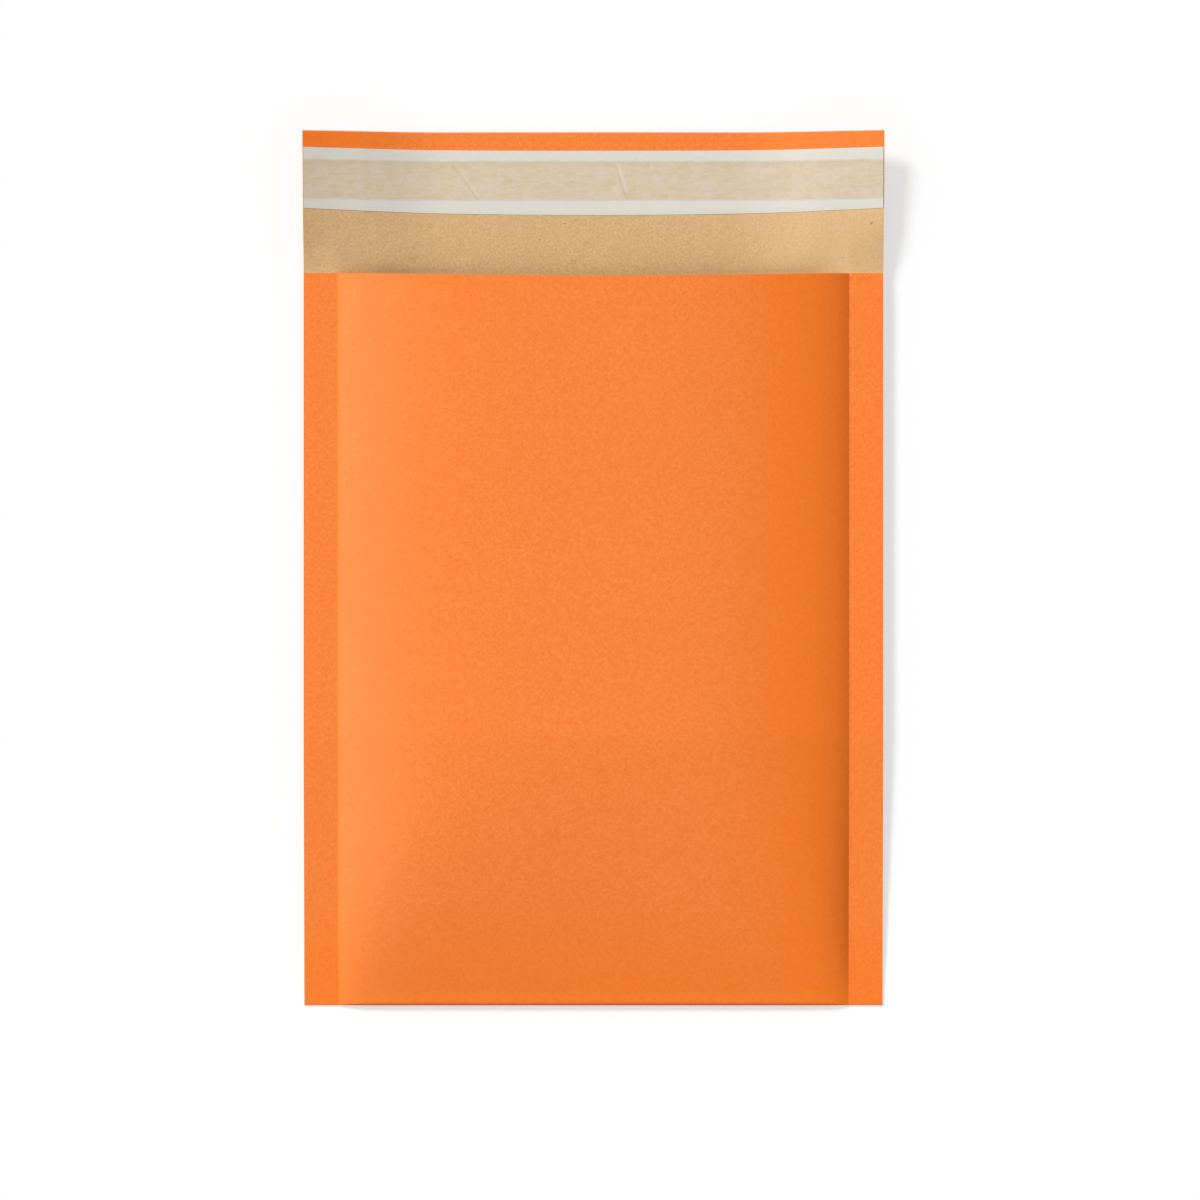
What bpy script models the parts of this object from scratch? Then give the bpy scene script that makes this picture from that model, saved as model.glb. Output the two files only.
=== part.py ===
"""Padded envelope lying on its back, with the flap open and the release liner still on.

One sheet of paper is folded at the bottom and sealed along both sides. A U of air-bubble film
lines it, with the bubbles facing inward. The flap's end is folded forward as a hem, and a band
of adhesive under a release liner runs across the flap.

Units are metres. +X runs across the envelope, +Y from the bottom fold to the flap's end, +Z up.
The origin is on the table, under the middle of the whole length.
"""

import math

import bmesh
import bpy
from mathutils.geometry import delaunay_2d_cdt

# Outline of the envelope
USABLE_WIDTH = 0.180
SEAM_WIDTH = 0.012
BODY_LENGTH = 0.258
FLAP_LENGTH = 0.0503

# Paper: its thickness, the film that seals two plies together, and the air inside the hem
PAPER = 0.00025
SEAL = 0.0001
SEAL_INSET = 0.0003
SEAL_BITE = 0.00006
HEM_AIR = 0.0001

# Back: a flat strip lies on the table, and the paper curls up from it to the side seams
REST_HALF_WIDTH = 0.045
SEAM_LIFT = 0.004
CURL_POWER = 2.5

# Front: a pillow that rises at a shoulder beside each seam and levels out to a crown
CROWN_RISE = 0.0084
CROWN_POWER = 3.0
SHOULDER_RISE = 0.0018
SHOULDER_REACH = 0.005
MOUTH_BOW = 0.0016
MOUTH_BOW_POWER = 6

# Bottom fold: pillow and seams come down to the table there, and the section gets squarer
FOLD_TAPER = 0.095
FOLD_TAPER_POWER = 1.5
FOLD_FULLNESS = 0.17
FOLD_POWER = 20.0
FOLD_GAUGE = 0.003

# Flap: a trough, flat in the middle, with sides that ease into a straight slope
FLAP_SIDE_LIFT = 0.0088
FLAP_BLEND = 0.008
TROUGH_HALF_WIDTH = 0.050
TROUGH_EASE = 0.020
HEM_SHOWING = 0.0062
HEM_TUCK = 0.0023

# Adhesive and release liner, measured down the flap from the hem's lower visible edge
LAYER_GAP = 0.00015
SIDE_TRIM = 0.0003
ADHESIVE = 0.00012
ADHESIVE_WIDTH = 0.0137
LINER = 0.0001
LINER_WIDTH = 0.0213
LINER_UPPER_MARGIN = 0.0042
LINER_BELLY = 0.0017

# Bubble lining
FILM = 0.00025
LINING_GAP = 0.0003
LINING_SIDE_INSET = 0.0048
LINING_BACK_END = 0.005
LINING_FRONT_END = 0.002
BUBBLE_PITCH = 0.0158
BUBBLE_HEIGHT = 0.0026
BUBBLE_TOP = 0.68
BUBBLE_MARGIN = 0.001
BUBBLE_SEAT = 0.00012
BUBBLE_CLEARANCE = 0.0005
BUBBLE_LEAST_HEIGHT = 0.0006

# How finely the curved forms are divided, and how their edges are shaded
FLAT_STEPS = 3
CURL_STEPS = 6
TAPER_STEPS = 7
STRAIGHT_STEPS = 3
BLEND_STEPS = 3
FOLD_STEPS = 6
HEM_STEPS = 4
SHARP_ANGLE = math.radians(35)
MERGE_DISTANCE = 0.0000025

# Places that follow from the sizes above
HALF_USABLE = USABLE_WIDTH / 2
HALF_WIDTH = HALF_USABLE + SEAM_WIDTH
Y_FOLD = -(BODY_LENGTH + FLAP_LENGTH) / 2
Y_MOUTH = Y_FOLD + BODY_LENGTH
Y_END = Y_MOUTH + FLAP_LENGTH
HALF_ROW = BUBBLE_PITCH * math.sqrt(3) / 4
SEAM_FRONT = PAPER / 2 + PAPER + SEAL
HEM_RADIUS = (PAPER + HEM_AIR) / 2
Y_HEM_BEND = Y_END - PAPER / 2 - HEM_RADIUS
Y_HEM_EDGE = Y_END - HEM_SHOWING - HEM_TUCK
Y_LINER_TOP = Y_END - HEM_SHOWING
Y_LINER_BOTTOM = Y_LINER_TOP - LINER_WIDTH
Y_ADHESIVE_TOP = Y_LINER_TOP - LINER_UPPER_MARGIN
Y_ADHESIVE_BOTTOM = Y_ADHESIVE_TOP - ADHESIVE_WIDTH


def smoothstep(value):
    """Ease from 0 to 1 as value goes from 0 to 1."""
    value = min(max(value, 0.0), 1.0)
    return value * value * (3 - 2 * value)


def steps(start, end, count):
    """Places from start to end in equal steps, without start."""
    return [start + (end - start) * i / count for i in range(1, count + 1)]


def mirrored(half):
    """Columns on both sides of the middle, from those at or right of it."""
    return [-x for x in reversed(half) if x > 0] + half


# Form of the paper, as heights of the middle of its thickness

def fold_nearness(y):
    """0 where the bottom fold has no effect, growing to 1 at the fold."""
    return max(0.0, 1 - (y - Y_FOLD) / FOLD_TAPER)


def seam_height(y):
    """How far the side seams are off the table: they slope down to it at the bottom fold."""
    return SEAM_LIFT * (1 - fold_nearness(y))


def trough_rise(x):
    """Section of the flap's trough, rising by 1 for each unit across on its straight sides."""
    reach = max(0.0, abs(x) - TROUGH_HALF_WIDTH)
    eased = min(reach, TROUGH_EASE)
    return eased ** 2 / (2 * TROUGH_EASE) + reach - eased


def trough_slope(y):
    """Slope of the trough's sides, carried on from the seams and growing to the flap's end."""
    at_mouth = SEAM_LIFT / trough_rise(HALF_USABLE)
    at_end = FLAP_SIDE_LIFT / trough_rise(HALF_WIDTH)
    return at_mouth + (at_end - at_mouth) * (y - Y_MOUTH) / FLAP_LENGTH


def back_height(x, y):
    """Height of the back ply and, past the mouth, of the flap."""
    reach = (abs(x) - REST_HALF_WIDTH) / (HALF_USABLE - REST_HALF_WIDTH)
    curl = seam_height(y) * min(max(reach, 0.0), 1.0) ** CURL_POWER
    flap_share = smoothstep((y - Y_MOUTH) / FLAP_BLEND)
    return PAPER / 2 + curl * (1 - flap_share) + trough_slope(y) * trough_rise(x) * flap_share


def front_height(x, y):
    """Height of the front ply."""
    nearness = fold_nearness(y)
    fullness = 1 - (1 - FOLD_FULLNESS) * nearness ** FOLD_TAPER_POWER
    power = CROWN_POWER + (FOLD_POWER - CROWN_POWER) * nearness ** 2
    inset = max(0.0, HALF_USABLE - abs(x))
    crown = CROWN_RISE * (1 - (1 - inset / HALF_USABLE) ** power)
    shoulder = SHOULDER_RISE * (1 - math.exp(-inset / SHOULDER_REACH))
    return seam_height(y) + SEAM_FRONT + fullness * (crown + shoulder)


def mouth_bow(x, y):
    """How far the front ply is drawn back from the mouth where it arches up."""
    along = (y - Y_FOLD) / BODY_LENGTH
    across = min(abs(x) / HALF_USABLE, 1.0)
    return MOUTH_BOW * (1 - across ** 2) * along ** MOUTH_BOW_POWER


def front_point(x, y, inward=0.0):
    """Point of the front ply, as (y, z), a distance inward from the middle of the paper."""
    drawn_back = y - mouth_bow(x, y)
    return drawn_back, front_height(x, drawn_back) - inward


def back_point(x, y, inward=0.0):
    """Point of the back ply or flap, as (y, z), a distance above the middle of the paper."""
    return y, back_height(x, y) + inward


def bottom_fold(x, inward=0.0):
    """Points round the bottom fold, as (y, z), from the front ply to the back ply."""
    y_gauge = Y_FOLD + FOLD_GAUGE
    front = front_height(x, y_gauge)
    back = back_height(x, y_gauge)
    fold_radius = (front - back) / 2
    y_centre = Y_FOLD + PAPER / 2 + fold_radius
    z_centre = (front + back) / 2
    radius = fold_radius - inward
    points = []
    for i in range(FOLD_STEPS + 1):
        angle = math.pi / 2 - math.pi * i / FOLD_STEPS
        points.append((y_centre - radius * math.cos(angle), z_centre + radius * math.sin(angle)))
    return points


# Columns across the envelope and rows along it, closer together where the form bends more

REST_COLUMNS = [0.0] + steps(0.0, REST_HALF_WIDTH, FLAT_STEPS)
CURL_COLUMNS = [
    REST_HALF_WIDTH + (HALF_USABLE - REST_HALF_WIDTH) * math.sin(math.pi / 2 * i / CURL_STEPS)
    for i in range(1, CURL_STEPS + 1)
]
PAPER_COLUMNS = mirrored(REST_COLUMNS + CURL_COLUMNS + [HALF_WIDTH])
LAYER_COLUMNS = mirrored(REST_COLUMNS + CURL_COLUMNS + [HALF_WIDTH - SIDE_TRIM])
LINING_EDGE = HALF_USABLE - LINING_SIDE_INSET
LINING_COLUMNS = mirrored(
    REST_COLUMNS + [x for x in CURL_COLUMNS if x < LINING_EDGE - BUBBLE_MARGIN] + [LINING_EDGE]
)

TAPER_ROWS = [Y_FOLD + FOLD_TAPER * ((i + 1) / (TAPER_STEPS + 1)) ** 2 for i in range(1, TAPER_STEPS)]
TAPER_ROWS.append(Y_FOLD + FOLD_TAPER)
BACK_TAPER_ROWS = TAPER_ROWS[::2]
PLAIN_ROWS = steps(Y_FOLD + FOLD_TAPER, Y_MOUTH, STRAIGHT_STEPS)
BLEND_ROWS = steps(Y_MOUTH, Y_MOUTH + FLAP_BLEND, BLEND_STEPS)
LAYER_ROWS = [Y_LINER_BOTTOM, Y_ADHESIVE_BOTTOM, Y_ADHESIVE_TOP, Y_LINER_TOP]

# The lining bends round the bottom fold between its two panels of bubbles
Y_BEND = TAPER_ROWS[0]
Y_PANEL = TAPER_ROWS[1]
BACK_PANEL_ROWS = [Y_PANEL] + BACK_TAPER_ROWS[1:] + PLAIN_ROWS[:-1] + [Y_MOUTH - LINING_BACK_END]
FRONT_PANEL_ROWS = TAPER_ROWS[1:] + PLAIN_ROWS[:-1] + [Y_MOUTH - LINING_FRONT_END]


def paper_path(x):
    """The sheet's section at x, as (y, z) points from the front's mouth edge to the hem's edge."""
    points = [front_point(x, y) for y in reversed(TAPER_ROWS + PLAIN_ROWS)]
    points += bottom_fold(x)
    points += [back_point(x, y) for y in BACK_TAPER_ROWS + PLAIN_ROWS]
    points += [back_point(x, y) for y in BLEND_ROWS + LAYER_ROWS]
    for i in range(HEM_STEPS + 1):
        angle = -math.pi / 2 + math.pi * i / HEM_STEPS
        y = Y_HEM_BEND + HEM_RADIUS * math.cos(angle)
        rise = HEM_RADIUS * (1 + math.sin(angle))
        points.append((y, back_height(x, Y_HEM_BEND) + rise))
    points += [back_point(x, y, 2 * HEM_RADIUS) for y in [Y_LINER_TOP, Y_HEM_EDGE]]
    return points


def seal_path(x):
    """Section of the layer that joins the two plies of a side seam, midway between them."""
    rows = [TAPER_ROWS[0], TAPER_ROWS[-1], Y_MOUTH - SEAL_INSET]
    return [(y, (back_height(x, y) + front_height(x, y)) / 2) for y in rows]


def adhesive_path(x):
    """Section of the adhesive at x, on the flap's inner face."""
    height = PAPER / 2 + LAYER_GAP + ADHESIVE / 2
    return [back_point(x, y, height) for y in [Y_ADHESIVE_BOTTOM, Y_ADHESIVE_TOP]]


def liner_path(x):
    """Section of the release liner at x, over the adhesive and the hem's tucked edge."""
    height = 2 * HEM_RADIUS + PAPER / 2 + LAYER_GAP + LINER / 2
    belly = LINER_BELLY * (1 - (x / HALF_WIDTH) ** 2)
    lower_edge = back_point(x, Y_LINER_BOTTOM - belly, height)
    return [lower_edge] + [back_point(x, y, height) for y in LAYER_ROWS]


def lining_path(x, depth):
    """The web's section at x, as (y, z), from its back end round the fold to its front end."""
    inward = PAPER / 2 + depth
    points = [back_point(x, y, inward) for y in reversed(BACK_PANEL_ROWS)]
    points.append(back_point(x, Y_BEND, inward))
    points += reversed(bottom_fold(x, inward))
    points.append(front_point(x, Y_BEND, inward))
    points += [front_point(x, y, inward) for y in FRONT_PANEL_ROWS]
    return points


# Materials and shared building steps

def plain_material(name, colour, roughness, alpha=1.0):
    """A Principled material of one colour, given as linear red, green and blue."""
    material = bpy.data.materials.new(name)
    material.use_nodes = True
    shader = material.node_tree.nodes["Principled BSDF"]
    shader.inputs["Base Color"].default_value = (*colour, 1.0)
    shader.inputs["Roughness"].default_value = roughness
    shader.inputs["Metallic"].default_value = 0.0
    shader.inputs["Alpha"].default_value = alpha
    material.diffuse_color = (*colour, alpha)
    return material


def add_object(name, bm, collection, materials):
    """Turn a bmesh into a named object with its materials."""
    mesh = bpy.data.meshes.new(name)
    bm.to_mesh(mesh)
    bm.free()
    for material in materials:
        mesh.materials.append(material)
    mesh.shade_smooth()
    mesh.set_sharp_from_angle(angle=SHARP_ANGLE)
    new_object = bpy.data.objects.new(name, mesh)
    collection.objects.link(new_object)
    return new_object


def folded_sheet(name, columns, path, thickness, collection, materials):
    """Bend a flat grid along the section that path gives for each column, and thicken it.

    Where there are two materials, the first is on the side of the sheet that faces into the fold
    and on its cut edges, and the second is on the side that faces out.
    """
    sections = [path(x) for x in columns]
    rows = len(sections[0])
    bm = bmesh.new()
    bmesh.ops.create_grid(bm, x_segments=len(columns) - 1, y_segments=rows - 1, size=1.0)
    bm.verts.ensure_lookup_table()
    for index, vert in enumerate(bm.verts):
        row, column = divmod(index, len(columns))
        y, z = sections[column][row]
        vert.co = (columns[column], y, z)
    sheet = add_object(name, bm, collection, materials)
    shell = sheet.modifiers.new("thickness", "SOLIDIFY")
    shell.thickness = thickness
    shell.offset = 0.0
    shell.use_even_offset = True
    shell.material_offset = len(materials) - 1
    return sheet


# Paper

def make_seam_seal(side, collection):
    """The layer of film that joins front and back in one side seam, biting into both."""
    edges = sorted([side * (HALF_USABLE + SEAL_INSET), side * (HALF_WIDTH - SEAL_INSET)])
    name = "seam_seal_left" if side < 0 else "seam_seal_right"
    film = plain_material(name, (0.80, 0.78, 0.74), 0.5)
    seal = folded_sheet(name, edges, seal_path, SEAL + 2 * SEAL_BITE, collection, [film])
    seal.hide_render = True
    seal.display_type = "WIRE"
    return seal


def make_paper(parts, helpers):
    """The folded sheet with its two side seams sealed."""
    materials = [
        plain_material("brown_kraft_inside", (0.67, 0.42, 0.20), 0.9),
        plain_material("orange_paper_outside", (0.96, 0.24, 0.055), 0.85),
    ]
    paper = folded_sheet("paper_envelope", PAPER_COLUMNS, paper_path, PAPER, parts, materials)
    for side in (-1, 1):
        seam = paper.modifiers.new("seam", "BOOLEAN")
        seam.operation = "UNION"
        seam.solver = "EXACT"
        seam.object = make_seam_seal(side, helpers)
    return paper


# Bubble lining

def bubble_rows(y_low, y_high):
    """Centres of the staggered rows of bubbles that fit between two ends of a panel."""
    widest = LINING_EDGE - BUBBLE_MARGIN - BUBBLE_PITCH / 2
    centres = []
    y = y_high - BUBBLE_MARGIN - HALF_ROW
    shift = 0.0
    while y - HALF_ROW - BUBBLE_MARGIN >= y_low:
        count = int((widest - shift) / BUBBLE_PITCH)
        half = [shift + i * BUBBLE_PITCH for i in range(count + 1)]
        centres += [(x, y) for x in mirrored(half)]
        y -= 2 * HALF_ROW
        shift = BUBBLE_PITCH / 2 - shift
    return centres


def hexagon(x, y, radius):
    """The six corners round (x, y)."""
    return [
        (x + radius * math.cos(math.pi / 3 * i), y + radius * math.sin(math.pi / 3 * i))
        for i in range(6)
    ]


def bubble_height(corners):
    """Height of a bubble: full where there is room, and pressed flatter where there isn't."""
    room = min(front_height(x, y) - back_height(x, y) for x, y in corners)
    share = room / 2 - PAPER / 2 - LINING_GAP - FILM - BUBBLE_SEAT - BUBBLE_CLEARANCE / 2
    return min(BUBBLE_HEIGHT, share)


def place_bubbles(bm, y_low, y_high, height_at, verts):
    """Add the base corners of a panel's bubbles to verts, one for each place that bubbles share.

    Returns each bubble's centre, its height, and the numbers of its base corners in verts.
    """
    number_at = {}
    bubbles = []
    for x, y in bubble_rows(y_low, y_high):
        corners = hexagon(x, y, BUBBLE_PITCH / 2)
        rise = bubble_height(corners)
        if rise < BUBBLE_LEAST_HEIGHT:
            continue
        base = []
        for corner in corners:
            row = round((y_high - BUBBLE_MARGIN - corner[1]) / HALF_ROW)
            place = (round(4 * corner[0] / BUBBLE_PITCH), row)
            if place not in number_at:
                number_at[place] = len(verts)
                verts.append(bm.verts.new((*corner, height_at(*corner))))
            base.append(number_at[place])
        bubbles.append((x, y, rise, base))
    return bubbles


def fill_round_bubbles(bm, verts, outline_count, bases):
    """Fill a panel with triangles between its outline and its bubbles' bases."""
    edges = [(i, (i + 1) % outline_count) for i in range(outline_count)]
    owners = {}
    for number, base in enumerate(bases):
        edges += list(zip(base, base[1:] + base[:1]))
        for index in base:
            owners.setdefault(index, set()).add(number)
    flat = [(vert.co.x, vert.co.y) for vert in verts]
    result = delaunay_2d_cdt(flat, edges, [], 1, MERGE_DISTANCE)
    triangles, sources = result[2], result[3]
    for triangle in triangles:
        corners = [sources[i][0] for i in triangle]
        if not set.intersection(*[owners.get(index, set()) for index in corners]):
            bm.faces.new([verts[index] for index in corners])


def add_panel(bm, outline, y_low, y_high, height_at, up):
    """Fill one panel of the web's inner side with bubbles standing on flat film.

    outline is the closed loop of its border vertices, height_at gives the film's surface and up
    is 1 where the bubbles stand up from the back ply and -1 where they hang from the front ply.
    """
    verts = list(outline)
    bubbles = place_bubbles(bm, y_low, y_high, height_at, verts)
    fill_round_bubbles(bm, verts, len(outline), [base for x, y, rise, base in bubbles])
    floors = [bm.faces.new([verts[index] for index in base]) for x, y, rise, base in bubbles]
    tops = bmesh.ops.extrude_discrete_faces(bm, faces=floors)["faces"]
    for top, (x, y, rise, base) in zip(tops, bubbles):
        for vert in top.verts:
            vert.co.x = x + (vert.co.x - x) * BUBBLE_TOP
            vert.co.y = y + (vert.co.y - y) * BUBBLE_TOP
            vert.co.z = height_at(vert.co.x, vert.co.y) + up * rise


def make_lining(parts):
    """One web of film in a U: plain against the paper, and set with bubbles inside."""
    film = plain_material("clear_bubble_film", (0.86, 0.88, 0.89), 0.25, 0.5)
    columns = LINING_COLUMNS
    last = len(columns) - 1
    depth = LINING_GAP + FILM
    outer_paths = [lining_path(x, LINING_GAP) for x in columns]
    inner_paths = [lining_path(x, depth) for x in columns]
    row_count = len(outer_paths[0])
    back_bend = len(BACK_PANEL_ROWS) - 1
    front_bend = row_count - len(FRONT_PANEL_ROWS)
    bm = bmesh.new()

    outer = {}
    inner = {}
    for row in range(row_count):
        whole_row = back_bend <= row <= front_bend or row in (0, row_count - 1)
        for c in range(last + 1):
            outer[row, c] = bm.verts.new((columns[c], *outer_paths[c][row]))
            if whole_row or c in (0, last):
                inner[row, c] = bm.verts.new((columns[c], *inner_paths[c][row]))

    for row in range(row_count - 1):
        for c in range(last):
            quad = [(row, c), (row, c + 1), (row + 1, c + 1), (row + 1, c)]
            bm.faces.new([outer[place] for place in quad])
            if back_bend <= row < front_bend:
                bm.faces.new([inner[place] for place in quad])

    rim = [(0, c) for c in range(last + 1)]
    rim += [(row, last) for row in range(1, row_count)]
    rim += [(row_count - 1, c) for c in range(last - 1, -1, -1)]
    rim += [(row, 0) for row in range(row_count - 2, 0, -1)]
    for place, following in zip(rim, rim[1:] + rim[:1]):
        bm.faces.new([outer[place], outer[following], inner[following], inner[place]])

    seat = PAPER / 2 + depth + BUBBLE_SEAT

    def above_back(x, y):
        return back_height(x, y) + seat

    def below_front(x, y):
        return front_height(x, y) - seat

    front_end = front_point(0.0, FRONT_PANEL_ROWS[-1])[0]
    panels = [
        (0, back_bend, BACK_PANEL_ROWS[-1], above_back, 1),
        (front_bend, row_count - 1, front_end, below_front, -1),
    ]
    for first, final, y_high, height_at, up in panels:
        outline = [inner[first, c] for c in range(last + 1)]
        outline += [inner[row, last] for row in range(first + 1, final + 1)]
        outline += [inner[final, c] for c in range(last - 1, -1, -1)]
        outline += [inner[row, 0] for row in range(final - 1, first, -1)]
        add_panel(bm, outline, Y_PANEL, y_high, height_at, up)

    bmesh.ops.recalc_face_normals(bm, faces=bm.faces)
    return add_object("bubble_lining", bm, parts, [film])


# Adhesive and release liner

def make_adhesive(parts):
    """The band of hot-melt adhesive across the flap."""
    tan = plain_material("tan_adhesive", (0.69, 0.56, 0.42), 0.45)
    return folded_sheet("adhesive_strip", LAYER_COLUMNS, adhesive_path, ADHESIVE, parts, [tan])


def make_liner(parts):
    """The release liner, wider than the adhesive it covers."""
    pale = plain_material("pale_release_liner", (0.72, 0.69, 0.62), 0.4)
    return folded_sheet("release_liner", LAYER_COLUMNS, liner_path, LINER, parts, [pale])


def main():
    """Clear the scene and build the envelope."""
    for old in list(bpy.data.objects):
        bpy.data.objects.remove(old, do_unlink=True)
    parts = bpy.data.collections.new("padded_envelope")
    helpers = bpy.data.collections.new("padded_envelope_helpers")
    bpy.context.scene.collection.children.link(parts)
    bpy.context.scene.collection.children.link(helpers)

    root = bpy.data.objects.new("envelope_origin", None)
    parts.objects.link(root)
    pieces = [make_paper(parts, helpers), make_lining(parts), make_adhesive(parts), make_liner(parts)]
    for piece in pieces:
        piece.parent = root


main()
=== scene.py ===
"""Looks of the padded envelope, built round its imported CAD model.

The paper, the bubble lining, the adhesive and the release liner are each made again from the sizes
of the CAD model, on finer meshes. Units are metres. +X runs across the envelope, +Y from the bottom
fold to the flap's end, +Z up.
"""

import math

import bmesh
import bpy
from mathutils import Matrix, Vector, noise
from mathutils.geometry import delaunay_2d_cdt


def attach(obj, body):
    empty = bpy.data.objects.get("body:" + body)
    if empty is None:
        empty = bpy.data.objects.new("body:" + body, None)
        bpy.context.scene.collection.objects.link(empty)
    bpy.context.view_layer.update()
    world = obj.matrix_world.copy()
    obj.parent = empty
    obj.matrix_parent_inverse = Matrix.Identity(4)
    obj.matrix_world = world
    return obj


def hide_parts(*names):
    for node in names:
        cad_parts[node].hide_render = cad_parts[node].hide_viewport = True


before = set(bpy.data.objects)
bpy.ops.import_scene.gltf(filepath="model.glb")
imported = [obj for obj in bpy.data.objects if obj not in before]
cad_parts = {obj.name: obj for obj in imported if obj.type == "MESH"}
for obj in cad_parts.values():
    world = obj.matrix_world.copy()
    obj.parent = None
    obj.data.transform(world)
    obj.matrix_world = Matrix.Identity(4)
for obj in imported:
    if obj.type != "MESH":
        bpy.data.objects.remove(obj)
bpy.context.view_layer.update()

# Sizes of the CAD model
USABLE_WIDTH = 0.180
SEAM_WIDTH = 0.012
BODY_LENGTH = 0.258
FLAP_LENGTH = 0.0503
PAPER = 0.00025
SEAL = 0.0001
SEAL_INSET = 0.0003
SEAL_BITE = 0.00006
HEM_AIR = 0.0001
REST_HALF_WIDTH = 0.045
SEAM_LIFT = 0.004
CURL_POWER = 2.5
CROWN_RISE = 0.0084
CROWN_POWER = 3.0
SHOULDER_RISE = 0.0018
SHOULDER_REACH = 0.005
MOUTH_BOW = 0.0016
MOUTH_BOW_POWER = 6
FOLD_TAPER = 0.095
FOLD_TAPER_POWER = 1.5
FOLD_FULLNESS = 0.17
FOLD_POWER = 20.0
FOLD_GAUGE = 0.003
FLAP_SIDE_LIFT = 0.0088
FLAP_BLEND = 0.008
TROUGH_HALF_WIDTH = 0.050
TROUGH_EASE = 0.020
HEM_SHOWING = 0.0062
HEM_TUCK = 0.0023
LAYER_GAP = 0.00015
SIDE_TRIM = 0.0003
ADHESIVE = 0.00012
ADHESIVE_WIDTH = 0.0137
LINER = 0.0001
LINER_WIDTH = 0.0213
LINER_UPPER_MARGIN = 0.0042
LINER_BELLY = 0.0017
FILM = 0.00025
LINING_GAP = 0.0003
LINING_SIDE_INSET = 0.0048
LINING_BACK_END = 0.005
LINING_FRONT_END = 0.002
BUBBLE_PITCH = 0.0158
BUBBLE_HEIGHT = 0.0026
BUBBLE_MARGIN = 0.001
BUBBLE_CLEARANCE = 0.0005
BUBBLE_LEAST_HEIGHT = 0.0006

# Places that follow from the sizes above
HALF_USABLE = USABLE_WIDTH / 2
HALF_WIDTH = HALF_USABLE + SEAM_WIDTH
Y_FOLD = -(BODY_LENGTH + FLAP_LENGTH) / 2
Y_MOUTH = Y_FOLD + BODY_LENGTH
Y_END = Y_MOUTH + FLAP_LENGTH
HALF_ROW = BUBBLE_PITCH * math.sqrt(3) / 4
SEAM_FRONT = PAPER / 2 + PAPER + SEAL
HEM_RADIUS = (PAPER + HEM_AIR) / 2
Y_HEM_BEND = Y_END - PAPER / 2 - HEM_RADIUS
Y_HEM_EDGE = Y_END - HEM_SHOWING - HEM_TUCK
Y_LINER_TOP = Y_END - HEM_SHOWING
Y_LINER_BOTTOM = Y_LINER_TOP - LINER_WIDTH
Y_ADHESIVE_TOP = Y_LINER_TOP - LINER_UPPER_MARGIN
Y_ADHESIVE_BOTTOM = Y_ADHESIVE_TOP - ADHESIVE_WIDTH
LAYER_EDGE = HALF_WIDTH - SIDE_TRIM
LINING_EDGE = HALF_USABLE - LINING_SIDE_INSET

# Gentle waves of the real paper: height, length, share of Y counted, and where the pattern is cut
FRONT_UNEVEN = 0.00016
FRONT_UNEVEN_LENGTH = 0.045
FRONT_UNEVEN_Y_SHARE = 0.6
FRONT_UNEVEN_CUT = 0.017
FLAP_UNEVEN = 0.00022
FLAP_UNEVEN_LENGTH = 0.030
FLAP_UNEVEN_Y_SHARE = 0.4
FLAP_UNEVEN_CUT = 0.031
UNEVEN_FADE = 0.02

# The flap rises a little past the crease at the mouth, more slowly beside the seams
SEAM_END_BLEND = 0.022
MOUTH_CREASE = 0.0014
MOUTH_CREASE_REACH = 0.0030
SEAM_CREASE_REACH = 0.024
MOUTH_CREASE_HALF_WIDTH = 0.074
MOUTH_CREASE_EASE = 0.022

# The flap is a little shorter than in the CAD model, and most so in its middle
FLAP_SHORTER = 0.0003
FLAP_BOW = 0.0006

# The hem is a little narrower at its ends and wider in its middle
HEM_NARROWER = 0.0003
HEM_BOW = 0.0008

# The liner lies close on the adhesive and the flap, and is faintly rippled
LINER_OVER_ADHESIVE = 0.00003
LINER_EDGE_LIFT = 0.00001
LINER_RIPPLE = 0.00003
LINER_RIPPLE_LENGTH = 0.004
LINER_RIPPLE_SQUEEZE = 2

# Creases in the release liner: start, end, height and half width of each
LINER_CREASES = [
    ((-0.0432, 0.1352), (-0.0398, 0.1306), 0.00014, 0.0010),
    ((0.0086, 0.1418), (0.0121, 0.1322), 0.00009, 0.0014),
    ((0.0200, 0.1420), (0.0210, 0.1402), 0.00012, 0.0005),
]
CREASE_END_SHARE = 0.25

# Round bubbles: sides, radius, and the rings of a dome as shares of its radius and height
DOME_SIDES = 16
DOME_RADIUS = 0.0070
DOME_RINGS = [(0.985, 0.34), (0.93, 0.64), (0.82, 0.86), (0.60, 0.97), (0.30, 1.0)]

# A bubble's room is measured at this many places round it
ROOM_PLACES = 6

# Distances between the columns of the meshes, closer together where the form bends more
REST_COLUMN_STEP = 0.003
CURL_COLUMN_STEP = 0.0025
SHOULDER_WIDTH = 0.01
SHOULDER_COLUMN_STEP = 0.0008
SEAM_COLUMN_STEP = 0.0015
LINER_COLUMN_STEP = 0.0008
ADHESIVE_COLUMN_STEP = 0.002
LINING_COLUMN_STEP = 0.003

# Distances between the rows, and the number of faces round the two bends
TAPER_COUNT = 36
TAPER_FIRST = 0.0048
TAPER_POWER = 1.6
FRONT_ROW_STEP = 0.003
BACK_ROW_STEP = 0.006
BLEND_ROW_STEP = 0.001
FLAP_ROW_STEP = 0.0015
UNDER_HEM_ROW_STEP = 0.0012
HEM_ROW_STEP = 0.001
LINER_ROW_STEP = 0.0006
ADHESIVE_ROW_STEP = 0.0015
LINING_ROW_STEP = 0.006
LINING_BEND_MIDDLE = 0.006
LINING_BEND_END = 0.0134
FOLD_STEPS = 14
HEM_STEPS = 12

# Edges sharper than this stay sharp in the shading, and closer points count as one
SHARP_ANGLE = math.radians(16)
MERGE_DISTANCE = 0.0000025

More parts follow.
